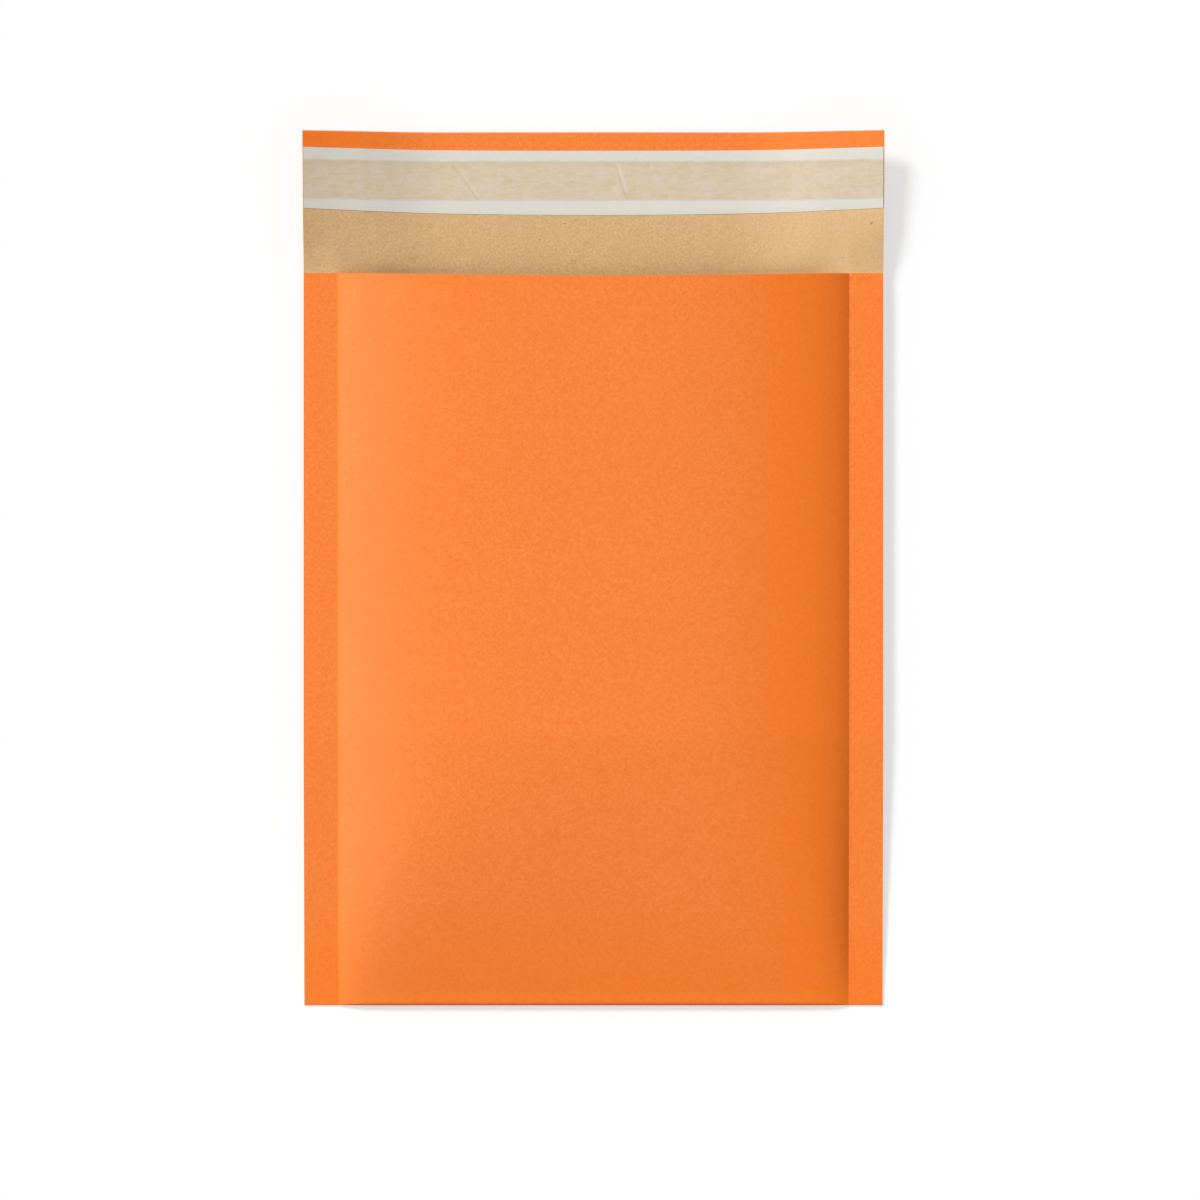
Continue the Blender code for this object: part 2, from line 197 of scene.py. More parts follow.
# What the triangulation is asked for: only what lies inside its outline
INSIDE_ONLY = 1

# Marks painted on the liner, the kraft and the orange paper: start, end, half width, strength, colour. On
# the liner, the dark and light strokes along the creases are painted shade and painted highlight, and the
# last three are stains along the tan zone's lower edge
LINER_STAINS_AND_CREASE_SHADING = [
    ((-0.0500, 0.1424), (-0.0478, 0.1396), 0.00090, 0.40, (0.50, 0.40, 0.27)),
    ((-0.0486, 0.1405), (-0.0446, 0.1352), 0.00090, 0.35, (0.53, 0.42, 0.28)),
    ((-0.0450, 0.1360), (-0.0404, 0.1292), 0.00080, 0.40, (0.50, 0.40, 0.27)),
    ((-0.0442, 0.1366), (-0.0392, 0.1296), 0.00100, 0.40, (0.74, 0.63, 0.46)),
    ((0.0076, 0.1426), (0.0110, 0.1318), 0.00060, 0.50, (0.53, 0.42, 0.33)),
    ((0.0086, 0.1426), (0.0122, 0.1318), 0.00100, 0.48, (0.79, 0.67, 0.55)),
    ((0.0066, 0.1346), (0.0094, 0.1314), 0.00160, 0.45, (0.77, 0.65, 0.54)),
    ((0.0190, 0.1426), (0.0198, 0.1408), 0.00050, 0.60, (0.55, 0.45, 0.29)),
    ((0.0201, 0.1426), (0.0209, 0.1406), 0.00060, 0.60, (0.78, 0.67, 0.49)),
    ((0.0046, 0.1299), (0.0088, 0.1300), 0.00040, 0.60, (0.70, 0.47, 0.31)),
    ((0.0114, 0.1299), (0.0140, 0.1300), 0.00040, 0.60, (0.70, 0.47, 0.31)),
    ((-0.0340, 0.1301), (-0.0318, 0.1301), 0.00035, 0.45, (0.70, 0.47, 0.31)),
]
KRAFT_MARKS = [
    ((0.0972, 0.1206), (0.0982, 0.1218), 0.00055, 0.75, (0.22, 0.13, 0.06)),
    ((0.1004, 0.1154), (0.1010, 0.1158), 0.00050, 0.60, (0.28, 0.17, 0.08)),
    ((0.0700, 0.1196), (0.0706, 0.1200), 0.00050, 0.55, (0.30, 0.19, 0.09)),
    ((-0.0467, 0.1088), (-0.0461, 0.1092), 0.00060, 0.80, (0.90, 0.74, 0.50)),
    ((-0.0213, 0.1180), (-0.0207, 0.1184), 0.00050, 0.60, (0.28, 0.17, 0.08)),
    ((-0.0367, 0.1158), (-0.0361, 0.1161), 0.00045, 0.55, (0.30, 0.19, 0.09)),
    ((-0.0515, 0.1198), (-0.0510, 0.1201), 0.00045, 0.55, (0.30, 0.19, 0.09)),
    ((-0.0240, 0.1140), (-0.0236, 0.1143), 0.00045, 0.55, (0.30, 0.19, 0.09)),
    ((-0.0858, 0.1041), (-0.0852, 0.1044), 0.00050, 0.65, (0.25, 0.15, 0.07)),
]
ORANGE_MARKS = [
    ((-0.0906, 0.1468), (-0.0890, 0.1468), 0.00070, 0.55, (1.00, 0.42, 0.060)),
    ((0.0890, 0.1468), (0.0906, 0.1468), 0.00070, 0.55, (1.00, 0.42, 0.060)),
]
STROKE_FADE = 0.0006

# Where a grain's values mostly lie, and those of the streaks in the tan zone
GRAIN_RANGE = (0.3, 0.7)
STREAK_RANGE = (0.33, 0.67)

# Noises of the materials: size in metres, detail and roughness of each
ORANGE_GRAIN = (0.0011, 3.0, 0.6)
KRAFT_GRAIN = (0.0008, 3.0, 0.65)
LINER_GRAIN = (0.0012, 2.0, 0.6)
LINER_STREAKS = (0.0042, 4.0, 0.70)
LINER_CLOUD = (0.0046, 4.0, 0.68)
LINER_WARMTH = (0.0050, 3.0, 0.6)
LINER_RAGGED = (0.004, 2.0, 0.5)
ADHESIVE_STREAKS = (0.006, 3.0, 0.6)
FILM_HAZE = (0.006, 3.0, 0.6)

# How many times narrower a noise is along X, Y and Z
STREAK_SQUEEZE = (1.0, 4.5, 1.0)
CLOUD_SQUEEZE = (1.0, 0.8, 1.0)
WARMTH_SQUEEZE = (1.0, 1.4, 1.0)
ADHESIVE_SQUEEZE = (1.0, 6.0, 1.0)

# Colours, as linear red, green and blue
ORANGE_DARK = (0.915, 0.200, 0.030)
ORANGE_LIGHT = (0.980, 0.276, 0.060)
# Painted shade and painted light on the orange paper
PAINTED_SHADE_ORANGE = (1.0, 0.200, 0.008)
PAINTED_LIGHT_ORANGE = (0.90, 0.300, 0.100)
KRAFT_DARK = (0.605, 0.372, 0.166)
KRAFT_LIGHT = (0.785, 0.512, 0.262)
# Painted light on the kraft
PAINTED_LIGHT_KRAFT = (0.86, 0.56, 0.29)
TAN_DARK = (0.636, 0.502, 0.342)
TAN_LIGHT = (0.700, 0.590, 0.432)
TAN_CLOUD = (0.712, 0.588, 0.484)
TAN_WARM = (0.700, 0.540, 0.350)
TAN_LINE = (0.60, 0.47, 0.32)
MARGIN_DARK = (0.700, 0.675, 0.606)
MARGIN_LIGHT = (0.730, 0.705, 0.638)
MARGIN_CLOUD = (0.716, 0.674, 0.612)
MARGIN_FREE = (0.780, 0.752, 0.684)
ADHESIVE_DARK = (0.56, 0.42, 0.27)
ADHESIVE_LIGHT = (0.74, 0.61, 0.45)
FILM_DARK = (0.78, 0.81, 0.82)
FILM_LIGHT = (0.88, 0.90, 0.91)

# Patches of another colour: the noise, its values and shares where they begin and are full, the colour
ORANGE_PATCHES = [
    ((0.0026, 2.0, 0.5), (0.50, 0.75, 0.0, 0.40), (0.90, 0.195, 0.030)),
    ((0.035, 2.0, 0.5), (0.35, 0.70, 0.0, 0.16), (0.92, 0.205, 0.034)),
]
KRAFT_PATCHES = [
    ((0.0030, 2.0, 0.5), (0.50, 0.75, 0.0, 0.35), (0.60, 0.37, 0.170)),
    ((0.020, 2.0, 0.5), (0.35, 0.70, 0.0, 0.15), (0.61, 0.37, 0.170)),
    ((0.0011, 0.0, 0.5), (0.79, 0.86, 0.0, 0.5), (0.35, 0.20, 0.09)),
]
TAN_CLOUD_FADE = (0.44, 0.66, 0.0, 0.75)
TAN_WARM_FADE = (0.56, 0.70, 0.0, 0.6)
MARGIN_CLOUD_FADE = (0.50, 0.65, 0.0, 0.6)

# Painted shade and painted light, as slow changes of colour across or along the envelope: deeper orange at
# the right shoulder, the bottom fold and the hem's left end, paler orange at the left, and paler kraft to
# the right. Two places, and the share at each
FRONT_ONLY = (Y_MOUTH - 0.001, Y_MOUTH, 1.0, 0.0)
FLAP_ONLY = (Y_MOUTH - 0.001, Y_MOUTH, 0.0, 1.0)
RIGHT_PAINTED_SHADE = (0.035, 0.082, 0.0, 0.62)
RIGHT_SEAM_PAINTED_SHADE = (0.0890, 0.0902, 1.0, 0.20)
LOW_PAINTED_SHADE = (Y_FOLD + 0.004, Y_FOLD + 0.045, 0.45, 0.0)
HEM_LEFT_PAINTED_SHADE = (-0.098, -0.055, 0.55, 0.0)
LEFT_PAINTED_LIGHT = (-0.084, -0.050, 0.35, 0.0)
LEFT_SEAM_PAINTED_LIGHT = (-0.0902, -0.0890, 0.0, 1.0)
LOW_PAINTED_LIGHT = (Y_FOLD, Y_FOLD + 0.08, 0.5, 1.0)
KRAFT_PAINTED_LIGHT = (0.030, 0.090, 0.0, 0.38)

# The adhesive shows through the liner with a soft, ragged edge and a darker line along its top
BLUR = 0.0006
RAGGED_DEPTH = 0.0006
WETTED_BELOW = (Y_ADHESIVE_BOTTOM - BLUR, Y_ADHESIVE_BOTTOM + BLUR, 0.0, 1.0)
WETTED_ABOVE = (Y_ADHESIVE_TOP - BLUR, Y_ADHESIVE_TOP + BLUR, 1.0, 0.0)
TAN_LINE_FADE = (Y_ADHESIVE_TOP - 4 * BLUR, Y_ADHESIVE_TOP, 0.0, 0.45)
FREE_MARGIN_FADE = (Y_ADHESIVE_BOTTOM - BLUR, Y_ADHESIVE_BOTTOM, 0.55, 0.0)

# How much of the light the film holds back
FILM_ALPHA = 0.22

# Sockets of the node that mixes colours, which has others of the same names
MIX_SHARE = 0
MIX_FIRST = 6
MIX_SECOND = 7
MIX_RESULT = 2

# Floor, light and camera
WHITE = (1.0, 1.0, 1.0, 1.0)
BOUNCE_GREY = (0.85, 0.85, 0.85, 1.0)
FLOOR_HALF_SIZE = 6.0
FLOOR_SHADOW = 0.40
AMBIENT = 0.38
KEY_DIRECTION = (-0.58, 0.58, 0.57)
KEY_STRENGTH = 3.40
KEY_ANGLE = math.radians(16)
CAMERA_X = 0.0023
CAMERA_Y = -0.01115
CAMERA_HEIGHT = 1.4
VIEW_WIDTH = 0.4228
VIEW_PLANE = 0.003
SENSOR = 36.0


def smoothstep(value):
    """Ease from 0 to 1 as value goes from 0 to 1."""
    value = min(max(value, 0.0), 1.0)
    return value * value * (3 - 2 * value)


def spaced(start, end, step):
    """Places from start to end, about step apart, without start."""
    count = max(1, round(abs(end - start) / step))
    return [start + (end - start) * i / count for i in range(1, count + 1)]


def mirrored(half):
    """Columns on both sides of the middle, from those at or right of it."""
    return [-x for x in reversed(half) if x > 0] + half


# Form of the paper, as heights of the middle of its thickness

def fold_nearness(y):
    """0 where the bottom fold has no effect, growing to 1 at the fold."""
    return max(0.0, 1 - (y - Y_FOLD) / FOLD_TAPER)


def seam_height(y):
    """How far the side seams are off the table: they slope down to it at the bottom fold."""
    return SEAM_LIFT * (1 - fold_nearness(y))


def trough_rise(x):
    """Section of the flap's trough, rising by 1 for each unit across on its straight sides."""
    reach = max(0.0, abs(x) - TROUGH_HALF_WIDTH)
    eased = min(reach, TROUGH_EASE)
    return eased ** 2 / (2 * TROUGH_EASE) + reach - eased


def trough_slope(y):
    """Slope of the trough's sides, carried on from the seams and growing to the flap's end."""
    at_mouth = SEAM_LIFT / trough_rise(HALF_USABLE)
    at_end = FLAP_SIDE_LIFT / trough_rise(HALF_WIDTH)
    return at_mouth + (at_end - at_mouth) * max(0.0, y - Y_MOUTH) / FLAP_LENGTH


def trough_height(x, y):
    """Height of the trough. Beside the seams, which are flat, it starts to rise at the mouth."""
    inside = trough_rise(min(abs(x), HALF_USABLE))
    beside = trough_rise(x) - inside
    return trough_slope(y) * (inside + beside * smoothstep((y - Y_MOUTH) / SEAM_END_BLEND))


def mouth_bow(x, y):
    """How far the front ply is drawn back from the mouth where it arches up."""
    along = (y - Y_FOLD) / BODY_LENGTH
    across = min(abs(x) / HALF_USABLE, 1.0)
    return MOUTH_BOW * (1 - across ** 2) * along ** MOUTH_BOW_POWER


def mouth_crease(x, y):
    """Rise of the flap past the crease at the mouth: sharp in the middle, slow beside the seams."""
    past_mouth = max(0.0, y - Y_MOUTH + mouth_bow(x, Y_MOUTH))
    beside = smoothstep((abs(x) - MOUTH_CREASE_HALF_WIDTH) / MOUTH_CREASE_EASE)
    reach = MOUTH_CREASE_REACH + (SEAM_CREASE_REACH - MOUTH_CREASE_REACH) * beside
    return MOUTH_CREASE * (1 - math.exp(-past_mouth / reach))


def flap_uneven(x, y):
    """Gentle waves of the flap, from nothing at the mouth."""
    place = Vector((x, y * FLAP_UNEVEN_Y_SHARE, FLAP_UNEVEN_CUT))
    wave = noise.noise(place / FLAP_UNEVEN_LENGTH)
    return FLAP_UNEVEN * (1 + wave) * smoothstep((y - Y_MOUTH) / UNEVEN_FADE)


def front_uneven(x, y):
    """Gentle waves of the front, fading to nothing at the seams and the bottom fold."""
    place = Vector((x, y * FRONT_UNEVEN_Y_SHARE, FRONT_UNEVEN_CUT))
    wave = noise.noise(place / FRONT_UNEVEN_LENGTH)
    inset = max(0.0, HALF_USABLE - abs(x))
    fade = smoothstep(inset / UNEVEN_FADE) * smoothstep((y - Y_FOLD) / UNEVEN_FADE)
    return FRONT_UNEVEN * wave * fade


def back_height(x, y):
    """Height of the back ply and, past the mouth, of the flap."""
    reach = (abs(x) - REST_HALF_WIDTH) / (HALF_USABLE - REST_HALF_WIDTH)
    curl = seam_height(y) * min(max(reach, 0.0), 1.0) ** CURL_POWER
    flap_share = smoothstep((y - Y_MOUTH) / FLAP_BLEND + 1)
    form = curl * (1 - flap_share) + trough_height(x, y) * flap_share
    return PAPER / 2 + form + mouth_crease(x, y) + flap_uneven(x, y)


def front_height(x, y):
    """Height of the front ply."""
    nearness = fold_nearness(y)
    fullness = 1 - (1 - FOLD_FULLNESS) * nearness ** FOLD_TAPER_POWER
    power = CROWN_POWER + (FOLD_POWER - CROWN_POWER) * nearness ** 2
    inset = max(0.0, HALF_USABLE - abs(x))
    crown = CROWN_RISE * (1 - (1 - inset / HALF_USABLE) ** power)
    shoulder = SHOULDER_RISE * (1 - math.exp(-inset / SHOULDER_REACH))
    return seam_height(y) + SEAM_FRONT + fullness * (crown + shoulder) + front_uneven(x, y)


def front_point(x, y, inward=0.0):
    """Point of the front ply, as (y, z), a distance inward from the middle of the paper."""
    drawn_back = y - mouth_bow(x, y)
    return drawn_back, front_height(x, drawn_back) - inward


def flap_drawn_in(x, y):
    """How far a place on the flap is drawn in toward the mouth, or out where it is below 0."""
    along = max(0.0, y - Y_MOUTH) / FLAP_LENGTH
    arc = 1 - (x / HALF_WIDTH) ** 2
    on_hem = smoothstep((y - Y_LINER_TOP) / HEM_SHOWING)
    return along * (FLAP_SHORTER + FLAP_BOW * arc) + on_hem * (HEM_NARROWER - HEM_BOW * arc)


def back_point(x, y, inward=0.0):
    """Point of the back ply or flap, as (y, z), a distance above the middle of the paper."""
    return y - flap_drawn_in(x, y), back_height(x, y) + inward


def bottom_fold(x, inward=0.0):
    """Points round the bottom fold, as (y, z), from the front ply to the back ply."""
    y_gauge = Y_FOLD + FOLD_GAUGE
    front = front_height(x, y_gauge)
    back = back_height(x, y_gauge)
    fold_radius = (front - back) / 2
    y_centre = Y_FOLD + PAPER / 2 + fold_radius
    z_centre = (front + back) / 2
    radius = fold_radius - inward
    points = []
    for i in range(FOLD_STEPS + 1):
        angle = math.pi / 2 - math.pi * i / FOLD_STEPS
        points.append((y_centre - radius * math.cos(angle), z_centre + radius * math.sin(angle)))
    return points


# Columns and rows of the meshes

HALF_COLUMNS = (
    [0.0]
    + spaced(0.0, REST_HALF_WIDTH, REST_COLUMN_STEP)
    + spaced(REST_HALF_WIDTH, HALF_USABLE - SHOULDER_WIDTH, CURL_COLUMN_STEP)
    + spaced(HALF_USABLE - SHOULDER_WIDTH, HALF_USABLE, SHOULDER_COLUMN_STEP)
)
PAPER_COLUMNS = mirrored(HALF_COLUMNS + spaced(HALF_USABLE, HALF_WIDTH, SEAM_COLUMN_STEP))
LINER_COLUMNS = mirrored([0.0] + spaced(0.0, LAYER_EDGE, LINER_COLUMN_STEP))
ADHESIVE_COLUMNS = mirrored([0.0] + spaced(0.0, LAYER_EDGE, ADHESIVE_COLUMN_STEP))
LINING_COLUMNS = mirrored([0.0] + spaced(0.0, LINING_EDGE, LINING_COLUMN_STEP))

TAPER_ROWS = [
    Y_FOLD + TAPER_FIRST + (FOLD_TAPER - TAPER_FIRST) * (i / TAPER_COUNT) ** TAPER_POWER
    for i in range(TAPER_COUNT + 1)
]
PLAIN_ROWS = spaced(Y_FOLD + FOLD_TAPER, Y_MOUTH, FRONT_ROW_STEP)
BACK_ROWS = [TAPER_ROWS[0]] + spaced(TAPER_ROWS[0], Y_MOUTH, BACK_ROW_STEP)
BLEND_ROWS = spaced(Y_MOUTH, Y_MOUTH + FLAP_BLEND, BLEND_ROW_STEP)
FLAP_ROWS = spaced(Y_MOUTH + FLAP_BLEND, Y_HEM_EDGE, FLAP_ROW_STEP)
UNDER_HEM_ROWS = spaced(Y_HEM_EDGE, Y_LINER_TOP, UNDER_HEM_ROW_STEP)
HEM_ROWS = spaced(Y_HEM_BEND, Y_HEM_EDGE, HEM_ROW_STEP)
LINER_ROWS = [Y_LINER_BOTTOM] + spaced(Y_LINER_BOTTOM, Y_LINER_TOP, LINER_ROW_STEP)
ADHESIVE_ROWS = [Y_ADHESIVE_BOTTOM] + spaced(Y_ADHESIVE_BOTTOM, Y_ADHESIVE_TOP, ADHESIVE_ROW_STEP)

Y_BEND = Y_FOLD + LINING_BEND_MIDDLE
Y_PANEL = Y_FOLD + LINING_BEND_END
LINING_BACK_ROWS = [Y_PANEL] + spaced(Y_PANEL, Y_MOUTH - LINING_BACK_END, LINING_ROW_STEP)
LINING_FRONT_ROWS = [Y_PANEL] + spaced(Y_PANEL, Y_MOUTH - LINING_FRONT_END, LINING_ROW_STEP)
LAST_COLUMN = len(LINING_COLUMNS) - 1


# Sections of the sheets

def hem_bend(x):
    """Points round the bend of the hem, as (y, z), from the flap up and over it."""
    points = []
    for i in range(HEM_STEPS + 1):
        angle = -math.pi / 2 + math.pi * i / HEM_STEPS
        y = Y_HEM_BEND + HEM_RADIUS * math.cos(angle)
        rise = HEM_RADIUS * (1 + math.sin(angle))
        points.append((y - flap_drawn_in(x, y), back_height(x, Y_HEM_BEND) + rise))
    return points


def paper_path(x):
    """The sheet's section at x, as (y, z) points from the front's mouth edge to the hem's edge."""
    points = [front_point(x, y) for y in reversed(TAPER_ROWS + PLAIN_ROWS)]
    points += bottom_fold(x)
    points += [back_point(x, y) for y in BACK_ROWS + BLEND_ROWS + FLAP_ROWS + UNDER_HEM_ROWS]
    points += hem_bend(x)
    points += [back_point(x, y, 2 * HEM_RADIUS) for y in HEM_ROWS]
    return points


def seal_path(x):
    """Section of the layer that joins the two plies of a side seam, midway between them."""
    rows = [TAPER_ROWS[0], TAPER_ROWS[-1], Y_MOUTH - SEAL_INSET]
    return [(y, (back_height(x, y) + front_height(x, y)) / 2) for y in rows]


def adhesive_path(x):
    """Section of the adhesive at x, on the flap's inner face."""
    height = PAPER / 2 + LAYER_GAP + ADHESIVE / 2
    return [back_point(x, y, height) for y in ADHESIVE_ROWS]


def crease_height(x, y):
    """Height of the liner's creases and ripples over its plain form."""
    ripple = noise.noise(Vector((x, y * LINER_RIPPLE_SQUEEZE, 0.0)) / LINER_RIPPLE_LENGTH)
    from_edge = (y + LINER_BELLY - Y_LINER_BOTTOM) / (Y_ADHESIVE_BOTTOM - Y_LINER_BOTTOM)
    total = LINER_RIPPLE * (1 + ripple) * smoothstep(from_edge)
    for start, end, height, half_width in LINER_CREASES:
        along_x = end[0] - start[0]
        along_y = end[1] - start[1]
        length = math.hypot(along_x, along_y)
        share = ((x - start[0]) * along_x + (y - start[1]) * along_y) / length ** 2
        aside = ((x - start[0]) * along_y - (y - start[1]) * along_x) / length
        ends = smoothstep(share / CREASE_END_SHARE) * smoothstep((1 - share) / CREASE_END_SHARE)
        total += height * ends * math.exp(-(aside / half_width) ** 2)
    return total


def between(value, low, high, at_low, at_high):
    """Go evenly from at_low to at_high as value goes from low to high."""
    return at_low + (at_high - at_low) * (value - low) / (high - low)


def liner_height(y):
    """Height of the liner over the flap: on the hem, on the adhesive, then almost on the flap."""
    on_hem = 2 * HEM_RADIUS + PAPER / 2 + LAYER_GAP + LINER / 2
    on_adhesive = PAPER / 2 + LAYER_GAP + ADHESIVE + LINER_OVER_ADHESIVE + LINER / 2
    on_flap = PAPER / 2 + LINER_EDGE_LIFT + LINER / 2
    if y >= Y_HEM_EDGE:
        return on_hem
    if y >= Y_ADHESIVE_BOTTOM:
        return between(y, Y_ADHESIVE_BOTTOM, Y_HEM_EDGE, on_adhesive, on_hem)
    return between(y, Y_LINER_BOTTOM, Y_ADHESIVE_BOTTOM, on_flap, on_adhesive)


def liner_path(x):
    """Section of the release liner at x, with its lower edge drawn down in a belly."""
    belly = LINER_BELLY * (1 - (x / HALF_WIDTH) ** 2)
    margin = Y_ADHESIVE_BOTTOM - Y_LINER_BOTTOM
    points = []
    for y in LINER_ROWS:
        lowered = y - belly * smoothstep((Y_ADHESIVE_BOTTOM - y) / margin)
        points.append(back_point(x, lowered, liner_height(y) + crease_height(x, lowered)))
    return points


def lining_path(x, depth):
    """The web's section at x, as (y, z), from its back end round the fold to its front end."""
    inward = PAPER / 2 + depth
    points = [back_point(x, y, inward) for y in reversed(LINING_BACK_ROWS)]
    points.append(back_point(x, Y_BEND, inward))
    points += reversed(bottom_fold(x, inward))
    points.append(front_point(x, Y_BEND, inward))
    points += [front_point(x, y, inward) for y in LINING_FRONT_ROWS]
    return points


# Shared building steps

def add_object(name, bm, materials):
    """Turn a bmesh into a named object with its materials."""
    mesh = bpy.data.meshes.new(name)
    bm.to_mesh(mesh)
    bm.free()
    for material in materials:
        mesh.materials.append(material)
    mesh.shade_smooth()
    mesh.set_sharp_from_angle(angle=SHARP_ANGLE)
    new_object = bpy.data.objects.new(name, mesh)
    bpy.context.scene.collection.objects.link(new_object)
    return new_object


def folded_sheet(name, columns, path, thickness, materials):
    """Bend a flat grid along the section that path gives for each column, and thicken it.

    Where there are two materials, the first is on the side of the sheet that faces into the fold
    and on its cut edges, and the second is on the side that faces out.
    """
    sections = [path(x) for x in columns]
    rows = len(sections[0])
    bm = bmesh.new()
    bmesh.ops.create_grid(bm, x_segments=len(columns) - 1, y_segments=rows - 1, size=1.0)
    bm.verts.ensure_lookup_table()
    for index, vert in enumerate(bm.verts):
        row, column = divmod(index, len(columns))
        y, z = sections[column][row]
        vert.co = (columns[column], y, z)
    sheet = add_object(name, bm, materials)
    shell = sheet.modifiers.new("thickness", "SOLIDIFY")
    shell.thickness = thickness
    shell.offset = 0.0
    shell.use_even_offset = True
    shell.material_offset = max(0, len(materials) - 1)
    return sheet


def bake(piece):
    """Keep the result of the piece's modifiers as its mesh, with the cut edges sharp."""
    depsgraph = bpy.context.evaluated_depsgraph_get()
    mesh = bpy.data.meshes.new_from_object(piece.evaluated_get(depsgraph))
    piece.modifiers.clear()
    piece.data = mesh
    mesh.set_sharp_from_angle(angle=SHARP_ANGLE)


def place_piece(piece, node):
    """Put a piece in the CAD node's stead, and hide the node."""
    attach(piece, "root")
    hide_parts(node)


# Materials

def new_material(name):
    """A material, its node tree and its shader."""
    material = bpy.data.materials.new(name)
    material.use_nodes = True
    tree = material.node_tree
    return material, tree, tree.nodes["Principled BSDF"]


def connect(tree, socket, value):
    """Link a node's output to the socket, or set the socket to a plain value."""
    if isinstance(value, bpy.types.NodeSocket):
        tree.links.new(value, socket)
    elif socket.type == "RGBA":
        socket.default_value = (*value, 1.0)
    else:
        socket.default_value = value


def object_place(tree, scale=(1.0, 1.0, 1.0)):
    """Coordinates on the piece in metres, stretched by scale."""
    coordinates = tree.nodes.new("ShaderNodeTexCoord")
    mapping = tree.nodes.new("ShaderNodeMapping")
    mapping.inputs["Scale"].default_value = scale
    tree.links.new(coordinates.outputs["Object"], mapping.inputs["Vector"])
    return mapping.outputs["Vector"]


def split_place(tree, place):
    """The distances across and along the envelope in a place's coordinates."""
    split = tree.nodes.new("ShaderNodeSeparateXYZ")
    tree.links.new(place, split.inputs["Vector"])
    return split.outputs["X"], split.outputs["Y"]


def mottle(tree, place, size, detail, roughness):
    """Noise from 0 to 1 with blotches of about that size in metres."""
    node = tree.nodes.new("ShaderNodeTexNoise")
    node.inputs["Scale"].default_value = 1 / size
    node.inputs["Detail"].default_value = detail
    node.inputs["Roughness"].default_value = roughness
    tree.links.new(place, node.inputs["Vector"])
    return node.outputs["Fac"]


def remap(tree, value, low, high, to_low=0.0, to_high=1.0, smooth=False):
    """Take value from the range low to high to another range, held at its ends."""
    node = tree.nodes.new("ShaderNodeMapRange")
    node.interpolation_type = "SMOOTHSTEP" if smooth else "LINEAR"
    for name, number in zip(("From Min", "From Max", "To Min", "To Max"), (low, high, to_low, to_high)):
        node.inputs[name].default_value = number
    connect(tree, node.inputs["Value"], value)
    return node.outputs["Result"]


def arithmetic(tree, operation, first, second):
    """One sum on two values."""
    node = tree.nodes.new("ShaderNodeMath")
    node.operation = operation
    connect(tree, node.inputs[0], first)
    connect(tree, node.inputs[1], second)
    return node.outputs["Value"]


def product(tree, first, *others):
    """All the values multiplied."""
    for other in others:
        first = arithmetic(tree, "MULTIPLY", first, other)
    return first


def blend_colours(tree, share, first, second):
    """Mix two colours, given as linear red, green and blue or as outputs."""
    node = tree.nodes.new("ShaderNodeMix")
    node.data_type = "RGBA"
    connect(tree, node.inputs[MIX_SHARE], share)
    connect(tree, node.inputs[MIX_FIRST], first)
    connect(tree, node.inputs[MIX_SECOND], second)
    return node.outputs[MIX_RESULT]


def add_patches(tree, place, colour, patches):
    """Blend patches of other colours over a colour."""
    for blotches, fade, paint in patches:
        share = remap(tree, mottle(tree, place, *blotches), *fade)
        colour = blend_colours(tree, share, colour, paint)
    return colour


def stroke(tree, start, end, half_width):
    """1 along a thin line on the piece from start to end, falling to 0 beside it."""
    mapping = tree.nodes.new("ShaderNodeMapping")
    mapping.vector_type = "TEXTURE"
    mapping.inputs["Location"].default_value = (*start, 0.0)
    mapping.inputs["Rotation"].default_value[2] = math.atan2(end[1] - start[1], end[0] - start[0])
    tree.links.new(object_place(tree), mapping.inputs["Vector"])
    along, aside = split_place(tree, mapping.outputs["Vector"])
    length = math.dist(start, end)
    fade = min(STROKE_FADE, length / 2)
    across = remap(tree, arithmetic(tree, "ABSOLUTE", aside, 0.0), 0.0, half_width, 1.0, 0.0, smooth=True)
    begun = remap(tree, along, 0.0, fade)
    unfinished = remap(tree, along, length - fade, length, 1.0, 0.0)
    return product(tree, across, begun, unfinished)


def add_strokes(tree, colour, strokes):
    """Paint thin lines over a colour: start, end, half width, strength and colour of each."""
    for start, end, half_width, strength, paint in strokes:
        share = product(tree, stroke(tree, start, end, half_width), strength)
        colour = blend_colours(tree, share, colour, paint)
    return colour


def finish_shader(tree, shader, colour, grain, roughness, bump, gloss=0.5):
    """Give the shader its colour, and let the grain vary its roughness and raise it by bump metres."""
    tree.links.new(colour, shader.inputs["Base Color"])
    tree.links.new(remap(tree, grain, *GRAIN_RANGE, *roughness), shader.inputs["Roughness"])
    shader.inputs["Specular IOR Level"].default_value = gloss
    node = tree.nodes.new("ShaderNodeBump")
    node.inputs["Strength"].default_value = 1.0
    node.inputs["Distance"].default_value = bump
    tree.links.new(grain, node.inputs["Height"])
    tree.links.new(node.outputs["Normal"], shader.inputs["Normal"])


